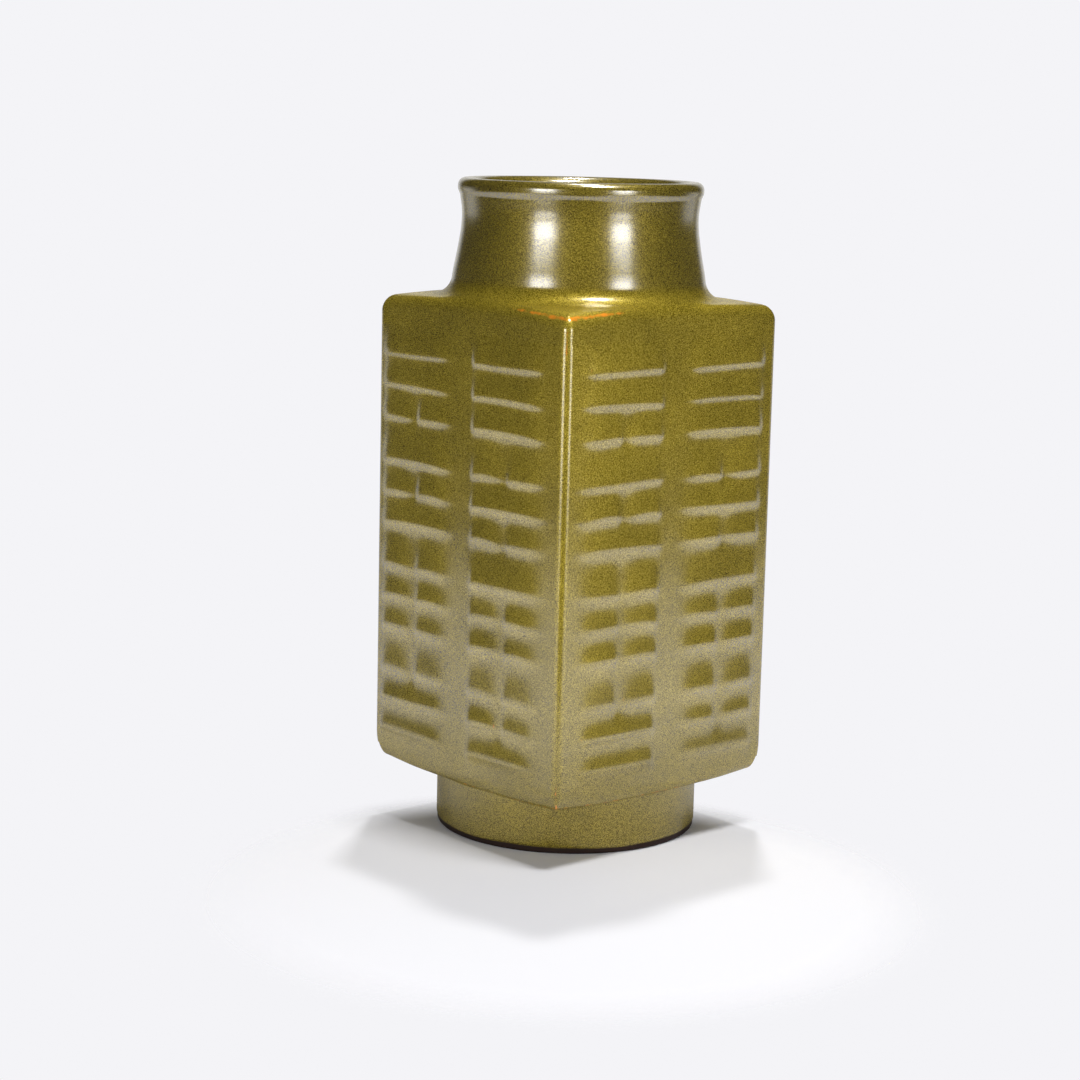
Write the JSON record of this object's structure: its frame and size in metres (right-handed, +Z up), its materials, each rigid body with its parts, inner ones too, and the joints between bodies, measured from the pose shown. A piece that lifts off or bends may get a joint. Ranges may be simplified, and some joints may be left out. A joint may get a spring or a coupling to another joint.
{
  "type": "cong vase",
  "caption": "Square cong vase in olive teadust glaze: slab-built body with trigram bars in low relief, round neck with a rolled lip, and a round foot ring.",
  "frame": {"origin": "middle of the foot ring, on the floor", "axes": "+Z up through the mouth; the walls face along X and Y, and -Y is the front"},
  "size_m": [0.1242, 0.1242, 0.28],
  "materials": {
    "glaze": "satin olive teadust glaze, finely speckled, thin and orange-brown on the edges",
    "foot": "the same glaze, stopping short of a bare edge dressed dark brown"
  },
  "bodies": {
    "root": {"foot_ring": "foot", "floor_slab": "glaze", "wall_front": "glaze", "wall_right": "glaze", "wall_back": "glaze", "wall_left": "glaze", "shoulder_slab": "glaze", "neck": "glaze", "front_xun_trigram": "glaze", "front_li_trigram": "glaze", "front_kun_trigram": "glaze", "front_dui_trigram": "glaze", "front_qian_trigram": "glaze", "front_kan_trigram": "glaze", "front_gen_trigram": "glaze", "front_zhen_trigram": "glaze", "right_xun_trigram": "glaze", "right_li_trigram": "glaze", "right_kun_trigram": "glaze", "right_dui_trigram": "glaze", "right_qian_trigram": "glaze", "right_kan_trigram": "glaze", "right_gen_trigram": "glaze", "right_zhen_trigram": "glaze", "back_xun_trigram": "glaze", "back_li_trigram": "glaze", "back_kun_trigram": "glaze", "back_dui_trigram": "glaze", "back_qian_trigram": "glaze", "back_kan_trigram": "glaze", "back_gen_trigram": "glaze", "back_zhen_trigram": "glaze", "left_xun_trigram": "glaze", "left_li_trigram": "glaze", "left_kun_trigram": "glaze", "left_dui_trigram": "glaze", "left_qian_trigram": "glaze", "left_kan_trigram": "glaze", "left_gen_trigram": "glaze", "left_zhen_trigram": "glaze"}
  },
  "joints": []
}
